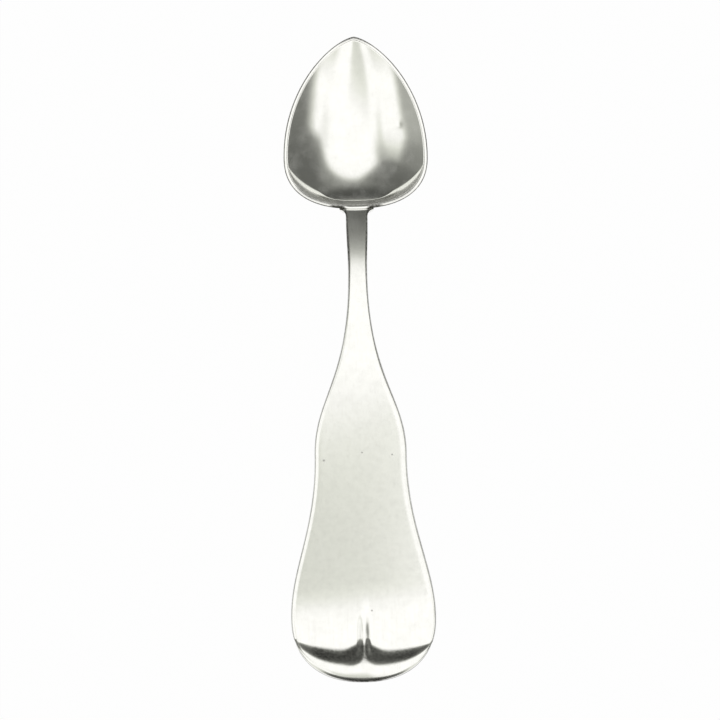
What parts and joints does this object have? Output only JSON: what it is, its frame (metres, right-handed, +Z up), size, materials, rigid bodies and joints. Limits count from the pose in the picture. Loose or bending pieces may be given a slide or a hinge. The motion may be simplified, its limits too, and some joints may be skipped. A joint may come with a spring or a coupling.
{
  "type": "serving spoon",
  "caption": "Silver serving spoon with a pointed egg-shaped bowl, a narrow stem and a broad fiddle-shaped handle with a turned-up, raised tip and midrib, for lifting food from a dish",
  "frame": {"origin": "bottom centre of the spoon's box: on the table that the spoon lies on, below the middle of its length", "axes": "+Y along the spoon towards the tip of the bowl, +Z up out of the hollow of the bowl, +X to the right seen from above"},
  "size_m": [0.0472, 0.21, 0.024],
  "materials": {
    "silver": "polished silver, softened by wear and fine scratches",
    "solder": "silver solder, greyer than the silver beside it"
  },
  "bodies": {
    "root": {"bowl": "silver", "handle": "silver", "solder_seam": "solder"}
  },
  "joints": []
}
